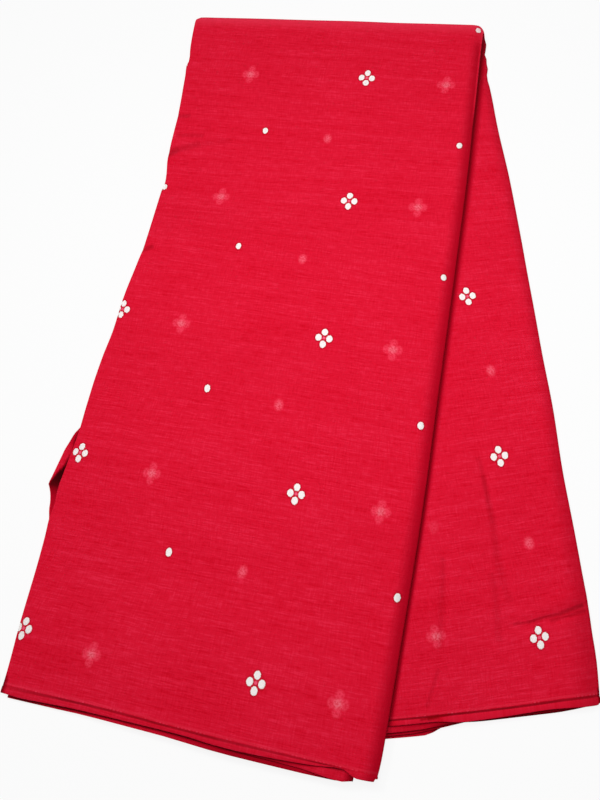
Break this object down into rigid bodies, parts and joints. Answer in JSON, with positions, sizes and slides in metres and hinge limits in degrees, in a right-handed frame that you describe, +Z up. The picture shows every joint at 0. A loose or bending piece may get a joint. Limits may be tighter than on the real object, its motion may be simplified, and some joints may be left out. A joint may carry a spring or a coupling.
{
  "type": "jamdani cotton fabric, folded",
  "caption": "Length of fine handwoven cotton cloth, folded lengthwise into a layered strip and once across into two fanned legs, lying flat.",
  "frame": {"origin": "middle of the footprint, on the surface the cloth lies on", "axes": "+Y along the front leg towards the cross fold, +X to the right, +Z up out of the stack"},
  "size_m": [0.4226, 0.6602, 0.0113],
  "materials": {
    "cotton": "matt crimson plain weave with off-white woven flowers"
  },
  "bodies": {
    "root": {"folded_cloth": "cotton"}
  },
  "joints": []
}
